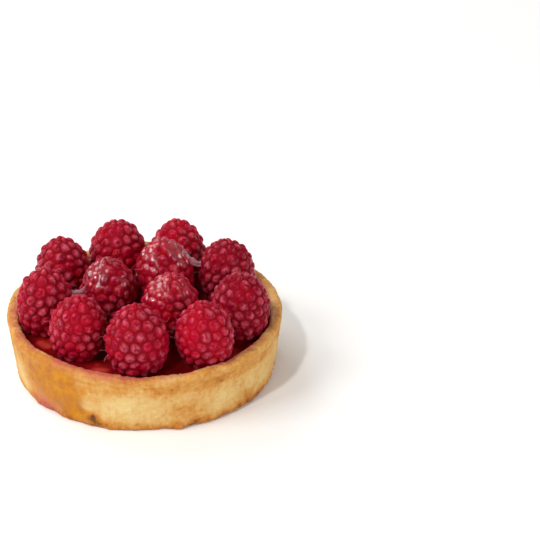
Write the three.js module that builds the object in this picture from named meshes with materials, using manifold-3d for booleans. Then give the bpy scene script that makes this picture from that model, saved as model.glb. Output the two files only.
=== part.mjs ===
// A raspberry tart, one portion: a shortcrust case baked in a plain ring, a filling
// under a thin red glaze, and twelve whole raspberries stood on the filling with their
// tips up, nine round the edge and three in the middle.
//
// Millimetres, +Z up. The base stands on z = 0 and the tart is centred on the Z axis.
// +X is to the right and -Y to the front.

import * as THREE from "three";
import { ConvexHull } from "three/addons/math/ConvexHull.js";
import { mergeVertices } from "three/addons/utils/BufferGeometryUtils.js";
import Module from "manifold-3d";

const wasm = await Module();
wasm.setup();

// ---- Driving dimensions ----

// Shortcrust case
const RIM_RADIUS = 42.5; // outside, at the top of the wall
const FOOT_RADIUS = 39.9; // outside, where the wall would meet the ground
const CASE_HEIGHT = 19.8; // before the rim's waves
const WALL_THICKNESS = 3.3;
const FLOOR_THICKNESS = 3.0;
const LIP_HEIGHT = 1.4; // how far down the wall the rounding of the lip reaches
const FOOT_ROUND = 1.3; // radius of the bottom edge

// Filling
const FILLING_TOP = 16.2; // at the wall
const CREEP = 0.25; // how much lower it is away from the wall
const FIT_GAP = 0.3; // clear space between pieces that touch

// Raspberries
const DRUPELET_SPACING = 3.8; // between neighbours in a ring
const RING_PACKING = 0.87; // rings nest, so they are this much closer than neighbours
const UNEVENNESS = 0.28; // how far a drupelet strays, as a share of its spacing
const GROOVE_DEPTH = 0.85; // how far the grooves lie under the drupelets' tops
const BELLY_SHARE = 0.4; // a berry is widest at this share of its height
const TIP_TAPER = 1.2; // 1 is an ellipsoid, and more draws the tip in

// One row for each berry: its bearing from +X in degrees and its distance from the
// tart's axis, then its width, its height, how far it leans and towards which bearing.
const RASPBERRIES = [
  { bearing: 148.9, reach: 30.1, width: 17.6, height: 19.0, lean: 3, towards: 110 },
  { bearing: 109.6, reach: 26.5, width: 19.0, height: 20.4, lean: 2, towards: 170 },
  { bearing: 71.8, reach: 31.0, width: 17.3, height: 18.3, lean: 3, towards: 200 },
  { bearing: 29.0, reach: 28.9, width: 18.2, height: 19.7, lean: 2, towards: 151 },
  { bearing: -16.9, reach: 29.9, width: 18.9, height: 21.2, lean: 6, towards: -49 },
  { bearing: -52.2, reach: 31.1, width: 18.2, height: 20.2, lean: 4, towards: -112 },
  { bearing: -92.3, reach: 29.3, width: 19.7, height: 20.2, lean: 7, towards: 90 },
  { bearing: -133.7, reach: 28.4, width: 18.1, height: 19.9, lean: 5, towards: -34 },
  { bearing: -168.2, reach: 30.9, width: 17.7, height: 20.9, lean: 2, towards: 0 },
  { bearing: 160.6, reach: 11.5, width: 17.7, height: 18.9, lean: 4, towards: -120 },
  { bearing: 58.4, reach: 12.8, width: 18.6, height: 21.3, lean: 6, towards: 157 },
  { bearing: -45.0, reach: 11.3, width: 18.5, height: 20.1, lean: 3, towards: -59 },
];

// Facets
const CASE_SIDES = 96;
const FILLING_SIDES = 48;
const LIP_STEPS = 6;

// ---- Finishes ----

const bakedPastry = new THREE.MeshStandardMaterial({ color: 0xdda85c, roughness: 0.75 });
const glazedFilling = new THREE.MeshStandardMaterial({ color: 0xb8322e, roughness: 0.25 });
const raspberryFlesh = new THREE.MeshStandardMaterial({ color: 0xa8142e, roughness: 0.4 });
for (const [finish, name] of [
  [bakedPastry, "baked_pastry"],
  [glazedFilling, "glazed_filling"],
  [raspberryFlesh, "raspberry_flesh"],
]) {
  finish.name = name;
}

// ---- Closed meshes ----

// Joins the vertices that share a place, and drops the facets that this flattens.
function closedMesh(geometry) {
  geometry.deleteAttribute("normal");
  geometry.deleteAttribute("uv");
  const merged = mergeVertices(geometry, 1e-4);
  const corners = merged.index.array;
  const kept = [];
  for (let i = 0; i < corners.length; i += 3) {
    const [a, b, c] = corners.slice(i, i + 3);
    if (a !== b && b !== c && c !== a) kept.push(a, b, c);
  }
  merged.setIndex(kept);
  return merged;
}

function toSolid(geometry) {
  const merged = closedMesh(geometry);
  return new wasm.Manifold(
    new wasm.Mesh({
      numProp: 3,
      vertProperties: new Float32Array(merged.attributes.position.array),
      triVerts: new Uint32Array(merged.index.array),
    }),
  );
}

function toGeometry(solid) {
  const mesh = solid.getMesh();
  const geometry = new THREE.BufferGeometry();
  geometry.setAttribute("position", new THREE.BufferAttribute(mesh.vertProperties, 3));
  geometry.setIndex(new THREE.BufferAttribute(mesh.triVerts, 1));
  geometry.computeVertexNormals();
  return geometry;
}

// Spins an outline round the Z axis. Its points are [radius, height], from the axis
// below to the axis above, and `bend` moves each point of the surface.
function turned(outline, sides, bend) {
  const points = outline.map(([radius, height]) => new THREE.Vector2(radius, height));
  const geometry = new THREE.LatheGeometry(points, sides);
  geometry.rotateX(Math.PI / 2);
  const position = geometry.attributes.position;
  for (let i = 0; i < position.count; i++) {
    const radius = Math.hypot(position.getX(i), position.getY(i));
    const angle = Math.atan2(position.getY(i), position.getX(i));
    const moved = bend(radius, angle, position.getZ(i));
    position.setXYZ(i, moved.radius * Math.cos(angle), moved.radius * Math.sin(angle), moved.height);
  }
  const merged = closedMesh(geometry);
  merged.computeVertexNormals();
  return merged;
}

// ---- Shortcrust case ----

// Slow and quick waves round the tart: pairs of how many to the turn and how high.
function waves(angle, pairs) {
  let sum = 0;
  for (const [count, amplitude] of pairs) sum += amplitude * Math.sin(count * angle + count * count);
  return sum;
}

// Where a point of the case lies once the dough is pressed in by hand and baked: the
// rim rises and dips, the wall is a little out of round, and the foot is ragged.
function asBaked(radius, angle, height) {
  const up = height / CASE_HEIGHT;
  const atWall = THREE.MathUtils.smoothstep(radius, FOOT_RADIUS * 0.8, FOOT_RADIUS * 0.95);
  const atFoot = atWall * (1 - THREE.MathUtils.smoothstep(height, 0.4, 3.4));
  const outOfRound = waves(angle, [[2, 0.15], [3, 0.1], [5, 0.08], [9, 0.08]]);
  const ragged = waves(angle, [[17, 0.2], [23, 0.2], [31, 0.2], [41, 0.16]]);
  const rise = waves(angle, [[2, 0.14], [5, 0.12], [11, 0.1], [19, 0.08]]);
  return {
    radius: radius + atWall * outOfRound + atFoot * ragged,
    height: height + atWall * up ** 3 * rise,
  };
}

function wallRadius(height) {
  return THREE.MathUtils.lerp(FOOT_RADIUS, RIM_RADIUS, height / CASE_HEIGHT);
}

function innerRadius(height) {
  return wallRadius(height) - WALL_THICKNESS;
}

function pastryCase() {
  const outline = [[0, 0], [FOOT_RADIUS - 2 * FOOT_ROUND, 0]];
  for (const turn of [-90, -50, -10]) {
    const angle = THREE.MathUtils.degToRad(turn);
    outline.push([
      FOOT_RADIUS - FOOT_ROUND + FOOT_ROUND * Math.cos(angle),
      FOOT_ROUND + FOOT_ROUND * Math.sin(angle),
    ]);
  }
  for (const height of [3.4, 7, 11, 15]) outline.push([wallRadius(height), height]);

  // The lip is half an oval from the outside of the wall over to the inside.
  const lipStart = CASE_HEIGHT - LIP_HEIGHT;
  for (let i = 0; i <= LIP_STEPS; i++) {
    const angle = (Math.PI * i) / LIP_STEPS;
    outline.push([
      wallRadius(lipStart) + (WALL_THICKNESS / 2) * (Math.cos(angle) - 1),
      lipStart + LIP_HEIGHT * Math.sin(angle),
    ]);
  }
  outline.push([innerRadius(10), 10]);
  outline.push([innerRadius(FLOOR_THICKNESS + 1.5), FLOOR_THICKNESS + 1.5]);
  outline.push([innerRadius(FLOOR_THICKNESS) - 2, FLOOR_THICKNESS], [0, FLOOR_THICKNESS]);
  return turned(outline, CASE_SIDES, asBaked);
}

// ---- Filling ----

// The filling fills the case and creeps up a little where it meets the wall.
function filling() {
  const bottom = FLOOR_THICKNESS + FIT_GAP;
  const outline = [[0, bottom], [innerRadius(bottom) - 2 - FIT_GAP, bottom]];
  for (const height of [FLOOR_THICKNESS + 2, 10, FILLING_TOP]) {
    outline.push([innerRadius(height) - FIT_GAP, height]);
  }
  outline.push([innerRadius(FILLING_TOP) - 3, FILLING_TOP - CREEP], [0, FILLING_TOP - CREEP]);
  return turned(outline, FILLING_SIDES, asBaked);
}

// ---- Raspberries ----

// A row of repeatable random numbers from 0 to 1.
function randomNumbers(seed) {
  let state = seed;
  return () => {
    state = (state * 16807) % 2147483647;
    return state / 2147483647;
  };
}

// A point on the berry's outer form, from its middle, for a direction from there.
function berryPoint(direction, width, height) {
  const across = Math.hypot(direction.x, direction.y);
  const taper = direction.z > 0 ? TIP_TAPER : 1;
  const widen = (width / 2) * across ** (taper - 1);
  const halfHeight = height * (1 - BELLY_SHARE);
  return new THREE.Vector3(direction.x * widen, direction.y * widen, direction.z * halfHeight);
}

// The directions of the drupelets' tops, in staggered rings from the tip down. A berry is
// taller than it is wide, so the rings come closer together in angle round its sides to
// lie equally far apart on the skin.
function drupeletDirections(width, height, random) {
  const across = width / 2;
  const tall = height * (1 - BELLY_SHARE);
  const ringCount = Math.round((Math.PI * (across + tall)) / (2 * DRUPELET_SPACING * RING_PACKING));
  const ringStep = Math.PI / ringCount;
  const crowding = (tall ** 2 - across ** 2) / (4 * (tall ** 2 + across ** 2));
  const directions = [];
  for (let ring = 0; ring < ringCount; ring++) {
    const share = (ring + 0.5) * ringStep;
    const fromTip = share + crowding * Math.sin(2 * share);
    const length = Math.PI * width * Math.sin(fromTip);
    const count = Math.max(3, Math.round(length / DRUPELET_SPACING));
    const start = (ring % 2) * 0.5 + random() * UNEVENNESS;
    for (let i = 0; i < count; i++) {
      const around = ((i + start + (random() - 0.5) * UNEVENNESS) * 2 * Math.PI) / count;
      const down = fromTip + (random() - 0.5) * UNEVENNESS * ringStep;
      directions.push(
        new THREE.Vector3(
          Math.sin(down) * Math.cos(around),
          Math.sin(down) * Math.sin(around),
          Math.cos(down),
        ),
      );
    }
  }
  return directions;
}

// The skin of a berry. Each drupelet is a low pyramid, and its corners lie at the bottom
// of the grooves. Each facet of the hull round the tops joins three neighbours, and the
// corner that they share is in the middle of them.
function drupeletSkin(width, height, random) {
  const directions = drupeletDirections(width, height, random);
  const hull = new ConvexHull().setFromPoints(directions);
  const positions = [];
  for (const face of hull.faces) {
    const grooveHere = groovePoint(face, width, height);
    let edge = face.edge;
    do {
      const top = berryPoint(edge.head().point, width, height);
      const grooveBeyond = groovePoint(edge.twin.face, width, height);
      for (const corner of [top, grooveHere, grooveBeyond]) positions.push(...corner);
      edge = edge.next;
    } while (edge !== face.edge);
  }
  const geometry = new THREE.BufferGeometry();
  geometry.setAttribute("position", new THREE.Float32BufferAttribute(positions, 3));
  return geometry;
}

function groovePoint(face, width, height) {
  const middle = new THREE.Vector3();
  for (const edge of [face.edge, face.edge.next, face.edge.prev]) middle.add(edge.head().point);
  const point = berryPoint(middle.normalize(), width, height);
  return point.multiplyScalar(1 - GROOVE_DEPTH / point.length());
}

// A berry leans, stands on z = 0 and is cut flat there, where it rests on the filling.
function raspberry({ width, height, lean, towards }, seed) {
  const geometry = drupeletSkin(width, height, randomNumbers(seed));
  geometry.translate(0, 0, height * BELLY_SHARE);
  const bearing = THREE.MathUtils.degToRad(towards);
  const leanAxis = new THREE.Vector3(-Math.sin(bearing), Math.cos(bearing), 0);
  geometry.applyMatrix4(
    new THREE.Matrix4().makeRotationAxis(leanAxis, THREE.MathUtils.degToRad(lean)),
  );
  const ground = new THREE.BoxGeometry(2 * width, 2 * width, height);
  ground.translate(0, 0, -height / 2);
  return toGeometry(toSolid(geometry).subtract(toSolid(ground)));
}

// ---- The tart ----

const tart = new THREE.Group();

function addPiece(name, geometry, finish) {
  const piece = new THREE.Mesh(geometry, finish);
  piece.name = name;
  tart.add(piece);
  return piece;
}

addPiece("pastry_case", pastryCase(), bakedPastry);
addPiece("filling", filling(), glazedFilling);
RASPBERRIES.forEach((berry, i) => {
  const name = `raspberry_${String(i + 1).padStart(2, "0")}`;
  const piece = addPiece(name, raspberry(berry, 101 + i), raspberryFlesh);
  const bearing = THREE.MathUtils.degToRad(berry.bearing);
  piece.position.set(
    berry.reach * Math.cos(bearing),
    berry.reach * Math.sin(bearing),
    FILLING_TOP + FIT_GAP,
  );
});

// The waves in the rim shift its middle a little, so the tart is centred last.
const middle = new THREE.Box3().setFromObject(tart).getCenter(new THREE.Vector3());
tart.position.set(-middle.x, -middle.y, 0);

export default tart;
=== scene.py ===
# A raspberry tart for one: a shortcrust case, a red glazed filling, and twelve whole
# raspberries stood on it with their tips up. +X is to the right and -Y to the front.
# Lengths are in millimetres until a mesh is made of them, which is in metres.

import math

import bmesh
import bpy
from mathutils import Matrix, Vector, noise


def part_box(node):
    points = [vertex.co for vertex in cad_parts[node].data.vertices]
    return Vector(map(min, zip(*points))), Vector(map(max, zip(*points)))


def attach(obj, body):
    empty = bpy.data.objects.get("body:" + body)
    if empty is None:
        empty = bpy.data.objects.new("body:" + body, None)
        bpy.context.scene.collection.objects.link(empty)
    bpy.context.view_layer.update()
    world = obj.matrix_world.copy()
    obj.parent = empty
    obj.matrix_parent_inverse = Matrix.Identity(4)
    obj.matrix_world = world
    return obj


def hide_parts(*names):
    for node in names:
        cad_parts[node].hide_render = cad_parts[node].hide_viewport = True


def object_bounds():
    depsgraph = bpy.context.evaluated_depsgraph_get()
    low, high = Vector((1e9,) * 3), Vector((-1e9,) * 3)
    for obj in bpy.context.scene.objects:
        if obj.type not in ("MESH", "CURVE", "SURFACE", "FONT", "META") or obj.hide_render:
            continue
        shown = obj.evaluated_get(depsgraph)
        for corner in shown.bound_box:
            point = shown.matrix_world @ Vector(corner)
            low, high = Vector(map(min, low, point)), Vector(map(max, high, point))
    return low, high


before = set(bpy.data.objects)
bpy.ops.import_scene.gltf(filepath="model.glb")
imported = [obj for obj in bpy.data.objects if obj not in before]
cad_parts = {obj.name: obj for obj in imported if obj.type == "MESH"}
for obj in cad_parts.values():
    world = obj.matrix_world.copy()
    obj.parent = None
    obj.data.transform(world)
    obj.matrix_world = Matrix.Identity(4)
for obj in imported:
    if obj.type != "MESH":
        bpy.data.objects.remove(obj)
cad_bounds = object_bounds()

# ---- Shortcrust case ----
# Flour, butter and sugar rubbed to crumbs, pressed by hand into a plain metal ring and
# baked. The wall is as smooth as the ring, the lip is rounded and browner, and the foot
# is crumbly where the dough crept out under the ring. Juice has soaked in at the front.

MM = 0.001  # a millimetre in metres
RIM_RADIUS = 42.5  # outside, at the top of the wall
FOOT_RADIUS = 39.9  # outside, where the wall would meet the ground
CASE_HEIGHT = 19.8  # before the rim's waves
WALL_THICKNESS = 3.3
FLOOR_THICKNESS = 3.0
LIP_HEIGHT = 1.4  # how far down the wall the rounding of the lip reaches
LIP_ROUND = 0.65  # 1 is a round lip, and less makes it flatter, with tighter edges
LIP_STEPS = 26
FOOT_ROUND = 1.3  # radius of the bottom edge
FOOT_TURN = 80  # degrees that the bottom edge turns through
FOOT_STEPS = 7
WALL_START = 1.5  # height where the bottom edge has become the wall
INSIDE_TOP = 18  # height where the lip has become the inside of the wall
INSIDE_SHOWS = 15  # height that the inside can be seen down to
INSIDE_BOTTOM = 4.5  # height where the inside turns into the floor
INSIDE_ROUND = 2  # radius of that turn
CRUMB = 0.35  # about the size of a crumb of the dough, and of the faces on the wall
FOOT_BORDER = 6  # width of the border of the underside that has small faces too
HIDDEN_STEP = 3  # size of the faces that the filling hides
FLAT_STEP = 5  # and of those on the flat underside and floor
CASE_SIDES = 720
MERGE_DISTANCE = 0.001

# Hands leave waves in the dough: how many to the turn, and how high.
ROUND_WAVES = [(2, 0.15), (3, 0.1), (5, 0.08), (9, 0.08)]
FOOT_WAVES = [(11, 0.14), (17, 0.14), (23, 0.1), (37, 0.06)]
LIP_WAVES = [(2, 0.14), (5, 0.12), (11, 0.1), (19, 0.08)]
FOOT_WAVES_FADE = (0.4, 3.4)  # between these heights


def smooth_step(x, low, high):
    t = min(max((x - low) / (high - low), 0), 1)
    return t * t * (3 - 2 * t)


def waves(angle, pairs):
    """Slow and quick waves round the tart: pairs of how many to the turn and how high."""
    return sum(size * math.sin(count * angle + count * count) for count, size in pairs)


noise.seed_set(5)  # or the lumps would be others each time


def lumps(point, size, octaves=2):
    """A smooth random push, less than 1 each way, that changes over lumps of that size."""
    push = Vector()
    for octave in range(octaves):
        push += noise.noise_vector(point * (2**octave / size)) * 0.5**octave
    return push


def as_baked(radius, angle, height):
    """Where a point of the case lies once the dough is pressed in by hand and baked."""
    at_wall = smooth_step(radius, FOOT_RADIUS * 0.8, FOOT_RADIUS * 0.95)
    at_foot = at_wall * (1 - smooth_step(height, *FOOT_WAVES_FADE))
    out = radius + at_wall * waves(angle, ROUND_WAVES) + at_foot * waves(angle, FOOT_WAVES)
    up = height + at_wall * (height / CASE_HEIGHT) ** 3 * waves(angle, LIP_WAVES)
    return Vector((out * math.cos(angle), out * math.sin(angle), up))


def wall_radius(height):
    return FOOT_RADIUS + (RIM_RADIUS - FOOT_RADIUS) * height / CASE_HEIGHT


def inner_radius(height):
    return wall_radius(height) - WALL_THICKNESS


def along(start, end, step):
    """Points [radius, height] from start up to but without the end, about a step apart."""
    start, end = Vector(start), Vector(end)
    count = max(1, round((end - start).length / step))
    return [start.lerp(end, i / count) for i in range(count)]


def case_outline():
    """The section of the case, from the axis underneath to the axis on the floor."""
    border = FOOT_RADIUS - FOOT_BORDER
    outline = along((1, 0), (border, 0), FLAT_STEP)
    outline += along((border, 0), (FOOT_RADIUS - FOOT_ROUND, 0), 2 * CRUMB)
    for i in range(FOOT_STEPS + 1):
        turn = math.radians(-90 + FOOT_TURN * i / FOOT_STEPS)
        across = FOOT_RADIUS - FOOT_ROUND + FOOT_ROUND * math.cos(turn)
        outline.append((across, FOOT_ROUND + FOOT_ROUND * math.sin(turn)))
    lip_start = CASE_HEIGHT - LIP_HEIGHT
    lip = wall_radius(lip_start)
    outline += along((wall_radius(WALL_START), WALL_START), (lip, lip_start), CRUMB)
    for i in range(LIP_STEPS + 1):
        aside, up = math.cos(math.pi * i / LIP_STEPS), math.sin(math.pi * i / LIP_STEPS)
        aside = math.copysign(abs(aside) ** LIP_ROUND, aside)
        across = lip + WALL_THICKNESS / 2 * (aside - 1)
        outline.append((across, lip_start + LIP_HEIGHT * abs(up) ** LIP_ROUND))
    top, hidden, bottom = (
        (inner_radius(height), height) for height in (INSIDE_TOP, INSIDE_SHOWS, INSIDE_BOTTOM)
    )
    outline += along(top, hidden, 2 * CRUMB)
    outline += along(hidden, bottom, HIDDEN_STEP)
    floor_edge = inner_radius(FLOOR_THICKNESS) - INSIDE_ROUND
    outline += along((floor_edge, FLOOR_THICKNESS), (1, FLOOR_THICKNESS), FLAT_STEP)
    return outline


def turned_skin(rows):
    """The points and faces of a closed skin: rows right round, and a pole at each end."""
    count = len(rows[0])
    points = [point for row in rows for point in row]
    faces = []
    for row in range(len(rows) - 1):
        for i in range(count):
            here, beside = row * count + i, row * count + (i + 1) % count
            faces.append((here, beside, beside + count, here + count))
    for row in (0, len(rows) - 1):
        points.append(sum(rows[row], Vector()) / count)
        for i in range(count):
            edge = (row * count + i, row * count + (i + 1) % count)
            faces.append((len(points) - 1, *edge))
    return points, faces


def make_piece(name, points, faces, paints):
    """A smooth closed piece. Each of its paints is a value for every point."""
    mesh = bpy.data.meshes.new(name)
    mesh.from_pydata([point * MM for point in points], [], faces)
    for paint, values in paints.items():
        mesh.attributes.new(paint, "FLOAT", "POINT").data.foreach_set("value", values)
    skin = bmesh.new()
    skin.from_mesh(mesh)
    bmesh.ops.remove_doubles(skin, verts=skin.verts, dist=MERGE_DISTANCE * MM)
    bmesh.ops.recalc_face_normals(skin, faces=skin.faces)
    skin.to_mesh(mesh)
    skin.free()
    mesh.shade_smooth()
    piece = bpy.data.objects.new(name, mesh)
    bpy.context.scene.collection.objects.link(piece)
    return piece


def centre_of(low, high):
    return (low + high) / 2 / MM


# The marks of hand, oven and juice on the case, with a few paler places of painted light.
# Each has a bearing in degrees (-90 is the front) and a height, how far it spreads round the
# wall and up it, and how strong it is.

# Browner crust, and paler where the last number is below 0. The paler mark at the front
# right, near -17, is partly painted light, for the light that falls on that side.
BROWNED = [
    (-142, 19.6, 19.0, 1.6, 0.24),
    (-93, 19.6, 5.0, 1.4, 0.16),
    (-78, 19.8, 5.0, 1.2, -0.2),
    (-112, 3.6, 3.2, 1.8, 0.4),
    (-105, 2.2, 4.0, 1.5, 0.22),
    (-79, 0.8, 3.0, 1.2, 0.2),
    (-72, 7.0, 4.5, 3.2, 0.2),
    (-68, 1.0, 3.5, 1.4, 0.12),
    (-45, 1.5, 7.0, 1.8, 0.14),
    (-38, 4.5, 2.5, 2.0, 0.25),
    (-28, 1.8, 6.0, 2.0, 0.14),
    (-150, 16.0, 8.0, 3.0, 0.06),
    (-157, 7.5, 3.5, 4.0, -0.3),
    (-151, 4.0, 2.5, 2.5, -0.25),
    (-113, 7.0, 2.0, 1.8, -0.22),
    (-114, 14.0, 2.4, 1.6, -0.2),
    (-99, 9.0, 8.0, 5.5, -0.26),
    (-88, 6.0, 6.0, 4.5, -0.2),
    (-52, 9.0, 7.0, 4.5, -0.16),
    (-33, 10.0, 6.0, 5.0, -0.2),
    (-17, 8.0, 6.0, 6.0, -0.2),
    (20, 9.0, 14.0, 5.0, -0.12),
    (62, 3.0, 12.0, 3.0, 0.28),
    (95, 10.0, 14.0, 5.0, -0.16),
    (128, 2.5, 9.0, 2.5, 0.26),
    (160, 8.0, 12.0, 5.0, -0.14),
]

# Juice that has soaked through the wall and turned it amber.
SOAKED = [
    (-142, 11.5, 6.0, 5.5, 1.0),
    (-131, 11.5, 6.0, 8.0, 1.4),
    (-121, 8.0, 4.2, 9.0, 1.7),
    (-114, 13.0, 1.2, 1.6, 0.7),
    (-115, 5.0, 1.4, 1.2, 0.7),
    (40, 5.0, 7.0, 5.0, 0.35),
]

# Pink juice on the outside of the wall, and on top of the lip and inside it.
STAINED = [
    (-137, 2.2, 5.5, 3.2, 0.95),
    (-130, 0.8, 3.5, 1.4, 0.4),
    (-124, 19.8, 7.0, 1.3, 0.3),
    (-105, 19.8, 7.0, 1.4, 0.55),
    (-80, 19.8, 5.0, 1.2, 0.25),
    (110, 1.2, 5.0, 1.5, 0.3),
]
LIP_STAINED = [
    (-176, 19.5, 7.0, 3.0, 0.3),
    (-160, 19.5, 7.0, 3.0, 0.5),
    (-146, 19.5, 6.0, 3.0, 0.5),
    (-124, 19.5, 8.0, 3.0, 0.8),
    (-104, 19.5, 9.0, 3.0, 1.6),
    (-92, 19.5, 5.0, 3.0, 0.7),
    (-68, 19.5, 7.0, 3.0, 0.3),
    (-50, 19.5, 7.0, 3.0, 0.7),
    (-36, 19.5, 7.0, 3.0, 0.5),
    (-8, 19.5, 10.0, 5.0, 0.25),
    (35, 19.5, 9.0, 3.0, 0.35),
    (150, 19.5, 12.0, 3.0, 0.35),
]

# Small dark spots, where a crumb or a drop of juice has scorched and sunk in.
SCORCHED = [
    (-54.6, 14.6, 0.55, 0.55, 0.85),
    (-40.5, 6.2, 0.6, 0.7, 0.6),
    (-77.0, 15.4, 0.7, 0.45, 0.6),
    (-73.5, 7.6, 0.8, 0.5, 0.45),
    (-91.5, 2.6, 0.9, 0.4, 0.5),
    (-127.6, 6.8, 0.35, 0.9, 0.9),
    (-116.5, 4.2, 1.1, 0.4, 0.5),
    (-110.5, 4.0, 0.7, 1.1, 0.8),
    (-139.0, 13.6, 0.9, 0.8, 0.35),
    (-64.0, 5.8, 0.4, 0.4, 0.4),
]

# How far the foot stands out, or is worn away where the last number is below 0.
FOOT_BUMPS = [
    (-113, 1.2, 2.6, 1.8, 0.6),
    (-104, 0.8, 1.6, 1.4, 0.35),
    (-95, 0.8, 1.4, 1.4, -0.3),
    (-80.5, 1.0, 2.0, 1.6, -0.6),
    (-73, 1.0, 1.8, 1.8, 0.9),
    (-66, 1.0, 1.8, 1.6, -0.3),
    (-47, 0.8, 1.6, 1.4, 0.4),
    (-133, 1.0, 2.2, 1.6, -0.5),
]

# Where the inside of the wall is made paler, which is painted light, and how far the lip
# has slumped.
PALE_INSIDE_PAINTED_LIGHT = [
    (-4, 19.0, 14.0, 5.0, 0.4),
    (-60, 19.0, 12.0, 5.0, 0.15),
]
LIP_DIPS = [
    (-92, 20.5, 5.0, 5.0, 0.6),
    (-70, 20.5, 18.0, 5.0, 0.75),
    (-47, 20.5, 5.0, 5.0, 0.5),
]
LIP_MARKS_HEIGHT = 19.5  # the waves of the lip carry its marks with them above this
MARK_LIMIT = 6  # a mark is too faint to show beyond this many times its spread, squared

# The dough's lumps: how large, how many finer ones they carry, and how high.
BROAD_LUMPS = (7, 3, 0.16)
SMALL_LUMPS = (1.0, 2, 0.1)
EDGE_LUMPS = (2.3, 3)  # on the foot and the lip, which have their own heights
FOOT_LUMP_HEIGHT = 0.2
LIP_LUMP_HEIGHT = 0.24
SKIN_INSET = 0.1  # leaves the lumps room to stand out
FOOT_CRACK_DEPTH = 0.3
FOOT_CRACK_SIZE = 1.7
SCORCH_DEPTH = 0.35
CREASE_HEIGHT = 16.4  # a faint crease runs round, where the dough was smoothed over the ring
CREASE_WIDTH = 0.45
CREASE_DEPTH = 0.2
UNDERSIDE = 0.3  # below this the case is flat, and only its crumbly foot lifts a little

# How brown each part is, from 0 for cream to 1 for dark brown, added up.
PLAIN_TONE = 0.35
BAND_TONE = 0.28  # a band round the wall, where the oven's heat caught it
BAND_HEIGHT = 14.8
BAND_WIDTH = 1.7
LIP_TONE = 0.1
FOOT_TONE = 0.28
SCORCH_TONE = 0.45
# the crease is painted darker: painted shade, where the lip overhangs it
CREASE_PAINTED_SHADE = 0.16
STREAK_TONE = 0.1  # soft streaks, about 5 mm wide and 9 mm tall
LIP_PINK = 0.35  # juice all along the lip's inner edge, between its stronger marks
INSIDE_PINK = 0.6  # and below the lip

# How many loose crumbs stick, as a share of the number on the foot.
CRUMBS_ON_LIP = 0.35
CRUMBS_ON_WALL = 0.03
WALL_CRUMBS_FROM = 1.2
WALL_CRUMBS_TO = 13

# Between which heights each of these fades in or out.
CRUMBLY_FOOT_FADES = (0.8, 3.6)
ROUGH_LIP_STARTS = (17.2, 18.6)
BROWN_LIP_STARTS = (15.5, 17.5)
BROWN_FOOT_FADES = (0.6, 4.2)
PINK_STARTS = (12, 15)
INSIDE_PINK_FADES = (16.4, 17.6)
LOOSE_CRUMBS_START = (1.0, 1.3)
LOOSE_CRUMBS_FADE = (1.4, 3.6)

# Between which depths in the wall, from its outside, each of these fades in.
OUTSIDE = (2.2, 1.2)
LIP_OUTSIDE = (2.7, 0.4)
LIP_TOP = (3, 2.5)


def strength(marks, angle, height):
    """How strongly a set of marks shows at a place on the wall."""
    total = 0
    for bearing, mark_height, round_it, up_it, amount in marks:
        apart = (math.degrees(angle) - bearing + 180) % 360 - 180
        away = (math.radians(apart) * RIM_RADIUS / round_it) ** 2
        away += ((height - mark_height) / up_it) ** 2
        if away < MARK_LIMIT:
            total += amount * math.exp(-away)
    return total


def near_outside(radius, height, deep, shallow):
    """0 deeper in the wall than the first depth, and 1 nearer its outside than the second."""
    wall = wall_radius(height)
    return smooth_step(radius, wall - deep, wall - shallow)


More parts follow.
